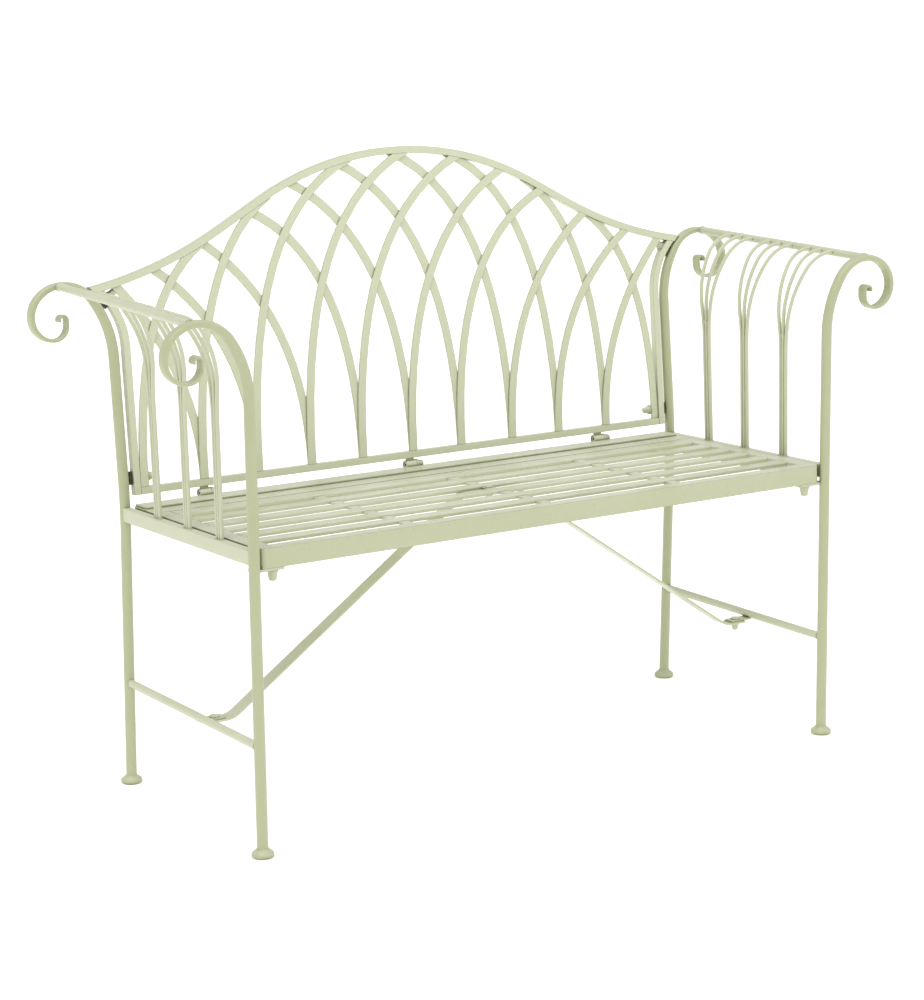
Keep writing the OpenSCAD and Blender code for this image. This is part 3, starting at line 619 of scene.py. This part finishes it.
for name, side in SIDES.items():
    for which, part in (("front", front_leg_part()), ("rear", rear_leg_part())):
        node = f"{name}_{which}_leg"
        built(node + "_shown", [to_side(part, side)], LEG_PAINT, [node])
    simple = {"arm_rail": arm_rail_part(), "side_rail": side_rail_part(), "stretcher": stretcher_part()}
    for which, part in simple.items():
        node = f"{name}_{which}"
        built(node + "_shown", [to_side(part, side)], FRAME_PAINT, [node])
    welds = side_frame_welds()
    for which, (y, base_lean) in ROD_BUNDLES.items():
        rods = [rod_part(y + i * ROD_PITCH, base_lean, i * ROD_FAN) for i in (-1, 0, 1)]
        node = f"{name}_{which}_rods"
        built(node + "_shown", [to_side(r, side) for r in rods], FRAME_PAINT, [node])
        welds += rod_welds(y, base_lean)
    built(name + "_welds", [to_side(w, side) for w in welds], NUT_PAINT)
    for which, y in (("front", 0), ("rear", LEG_DEPTH)):
        foot = to_side(foot_part(LEG_X, y), side)
        built(f"{name}_{which}_foot", [foot], LEG_PAINT, ["feet"])

# ---- seat ------------------------------------------------------------------------


def slat_section(width):
    """Bent sheet with its lips down: outer skin from front to back, then the inner skin."""
    outer = 1.8
    inner = 0.5
    steps = 4

    def corner(y, z, radius, start):
        turns = [math.radians(start - 90 * i / steps) for i in range(steps + 1)]
        return [(y + radius * math.cos(a), z + radius * math.sin(a)) for a in turns]

    outside = corner(outer, -outer, outer, 180) + corner(width - outer, -outer, outer, 90)
    low, high = SLAT_T + inner, width - SLAT_T - inner
    inside = corner(low, -low, inner, 180) + corner(high, -low, inner, 90)
    lip = [(0.0, -SLAT_LIP), *outside, (width, -SLAT_LIP), (width - SLAT_T, -SLAT_LIP)]
    return [*lip, *reversed(inside), (SLAT_T, -SLAT_LIP)]


def slat_part(index):
    """Channel with soft corners, a little uneven along its length."""
    front = SLAT_Y + (index - 1) * SLAT_PITCH
    width = SLAT_END - front if index == 6 else SLAT_W
    section = slat_section(width)
    rings = []
    for k in range(25):
        x = -SEAT_INNER + 2 * SEAT_INNER * k / 24
        sag = 0.25 * math.sin(math.pi * k / 24) ** 2 * (1 + 0.5 * math.sin(index * 2.1))
        rings.append([on_seat((x, front + y, z - sag)) for y, z in section])
    return tube_part(rings)


for index in range(1, 7):
    node = f"seat_slat_{index}"
    built(node + "_shown", [to_side(slat_part(index), 1)], SEAT_PAINT, [node])

# ---- braces ----------------------------------------------------------------------


def brace_part(high):
    """Flat bar, bent near both ends."""
    low = BRACE_LOW + BRACE_T / 2
    corners = [
        Vector((BRACE_BOLT_X + 12, BRACE_Y, low)),
        Vector((BRACE_OUTER_X, BRACE_Y, low)),
        Vector((BRACE_INNER_X, BRACE_Y, high - BRACE_T / 2)),
        Vector((-12, BRACE_Y, high - BRACE_T / 2)),
    ]
    path = [corners[0]]
    reach = 12
    for before, corner, after in zip(corners, corners[1:], corners[2:]):
        a = corner + (before - corner).normalized() * reach
        b = corner + (after - corner).normalized() * reach
        for i in range(9):
            t = i / 8
            path.append(a * (1 - t) ** 2 + corner * 2 * t * (1 - t) + b * t ** 2)
    path.append(corners[-1])
    return tube_part(path_rings(path, rounded_section(BRACE_W, BRACE_T, 0.7)))


for name, high in (("left", BRACE_HIGH), ("right", BRACE_HIGH - BRACE_T)):
    node = name + "_brace"
    built(node + "_shown", [to_side(brace_part(high), SIDES[name])], FRAME_PAINT, [node])

# ---- pieces that keep the CAD shape, with rounded edges ---------------------------

SHEET_EDGE = 0.7
BAR_EDGE = 0.9
STRIP_EDGE = 0.5
NUT_EDGE = 0.35
SEAT_SHEETS = [
    "seat_front_rail", "seat_rear_rail", "seat_left_rail", "seat_right_rail", "seat_rear_strip",
]
BACK_BARS = ["back_top_rail", "back_bottom_rail", "back_left_upright", "back_right_upright"]
BACK_STRIPS = [
    f"{layer}_strips_{part}" for layer in ("front", "rear") for part in ("left", "middle", "right")
]
PAINTED_HARDWARE = [
    "seat_bolts", "seat_cap_nuts", "back_cap_nuts", "back_washers", "tab_bolts", "tab_cap_nuts",
    "brace_bolts", "brace_cap_nuts",
]
KEPT = {
    "seat_paint": (SEAT_PAINT, {SHEET_EDGE: SEAT_SHEETS, STRIP_EDGE: ["seat_cross_bars"]}),
    "back_paint": (BACK_PAINT, {
        BAR_EDGE: BACK_BARS,
        STRIP_EDGE: BACK_STRIPS + ["back_tabs", "seat_back_tabs"],
    }),
    "frame_paint": (FRAME_PAINT, {STRIP_EDGE: ["seat_tabs", "brace_tabs"]}),
    "painted_hardware": (NUT_PAINT, {NUT_EDGE: PAINTED_HARDWARE}),
    # The spacers are painted near-black as painted shade.
    "dark_rubber": (SPACER_SHADE, {NUT_EDGE: ["back_spacers"]}),
    "hidden_steel": (PLATED, {NUT_EDGE: ["back_studs", "leg_inserts"]}),
}
for slot_name, (material, groups) in KEPT.items():
    for radius, names in groups.items():
        for node in names:
            refined(node, radius, material)

# ---- floor, light and camera -----------------------------------------------------

scene = bpy.context.scene


def make_floor():
    half = 150
    mesh = bpy.data.meshes.new("floor")
    corners = [(-half, -half, 0), (half, -half, 0), (half, half, 0), (-half, half, 0)]
    mesh.from_pydata(corners, [], [(0, 1, 2, 3)])
    material = bpy.data.materials.new("floor")
    material.use_nodes = True
    shader = material.node_tree.nodes["Principled BSDF"]
    shader.inputs["Base Color"].default_value = (0.93, 0.93, 0.93, 1)
    shader.inputs["Roughness"].default_value = 0.9
    shader.inputs["Specular IOR Level"].default_value = 0.1
    shader.inputs["Emission Color"].default_value = (1, 1, 1, 1)
    shader.inputs["Emission Strength"].default_value = 0.35
    mesh.materials.append(material)
    floor = bpy.data.objects.new("floor", mesh)
    floor.location.z = cad_box[0].z
    scene.collection.objects.link(floor)


def make_light(name, strength, azimuth, elevation, spread):
    """Soft sun from the given direction: azimuth 0 is from the front, 90 from the right."""
    light = bpy.data.lights.new(name, "SUN")
    light.energy = strength
    light.angle = math.radians(spread)
    sun = bpy.data.objects.new(name, light)
    a, e = math.radians(azimuth), math.radians(elevation)
    back = Vector((math.sin(a) * math.cos(e), -math.cos(a) * math.cos(e), math.sin(e)))
    sun.rotation_mode = "QUATERNION"
    sun.rotation_quaternion = (-back).to_track_quat("-Z", "Y")
    scene.collection.objects.link(sun)


def make_world(strength):
    sky = bpy.data.worlds.new("studio")
    sky.use_nodes = True
    background = sky.node_tree.nodes["Background"]
    background.inputs["Color"].default_value = (1, 1, 1, 1)
    background.inputs["Strength"].default_value = strength
    scene.world = sky


def make_camera():
    """Three quarters from the left, a little above the bench."""
    azimuth, pitch, roll = -32.92, 11.893, -0.787
    camera = bpy.data.objects.new("camera", bpy.data.cameras.new("camera"))
    camera.data.lens = 95.92
    camera.data.sensor_width = 36
    camera.location = (-2.1786, -3.3182, 1.2425)
    turn = Matrix.Rotation(math.radians(azimuth), 3, "Z")
    turn = turn @ Matrix.Rotation(math.radians(90 - pitch), 3, "X")
    turn = turn @ Matrix.Rotation(math.radians(roll), 3, "Z")
    camera.rotation_mode = "QUATERNION"
    camera.rotation_quaternion = turn.to_quaternion()
    scene.collection.objects.link(camera)
    scene.camera = camera


make_floor()
make_light("key", 1.35, -60, 66, 50)
make_light("fill", 0.5, 55, 30, 60)
make_world(0.64)
make_camera()
scene.view_settings.view_transform = "Standard"
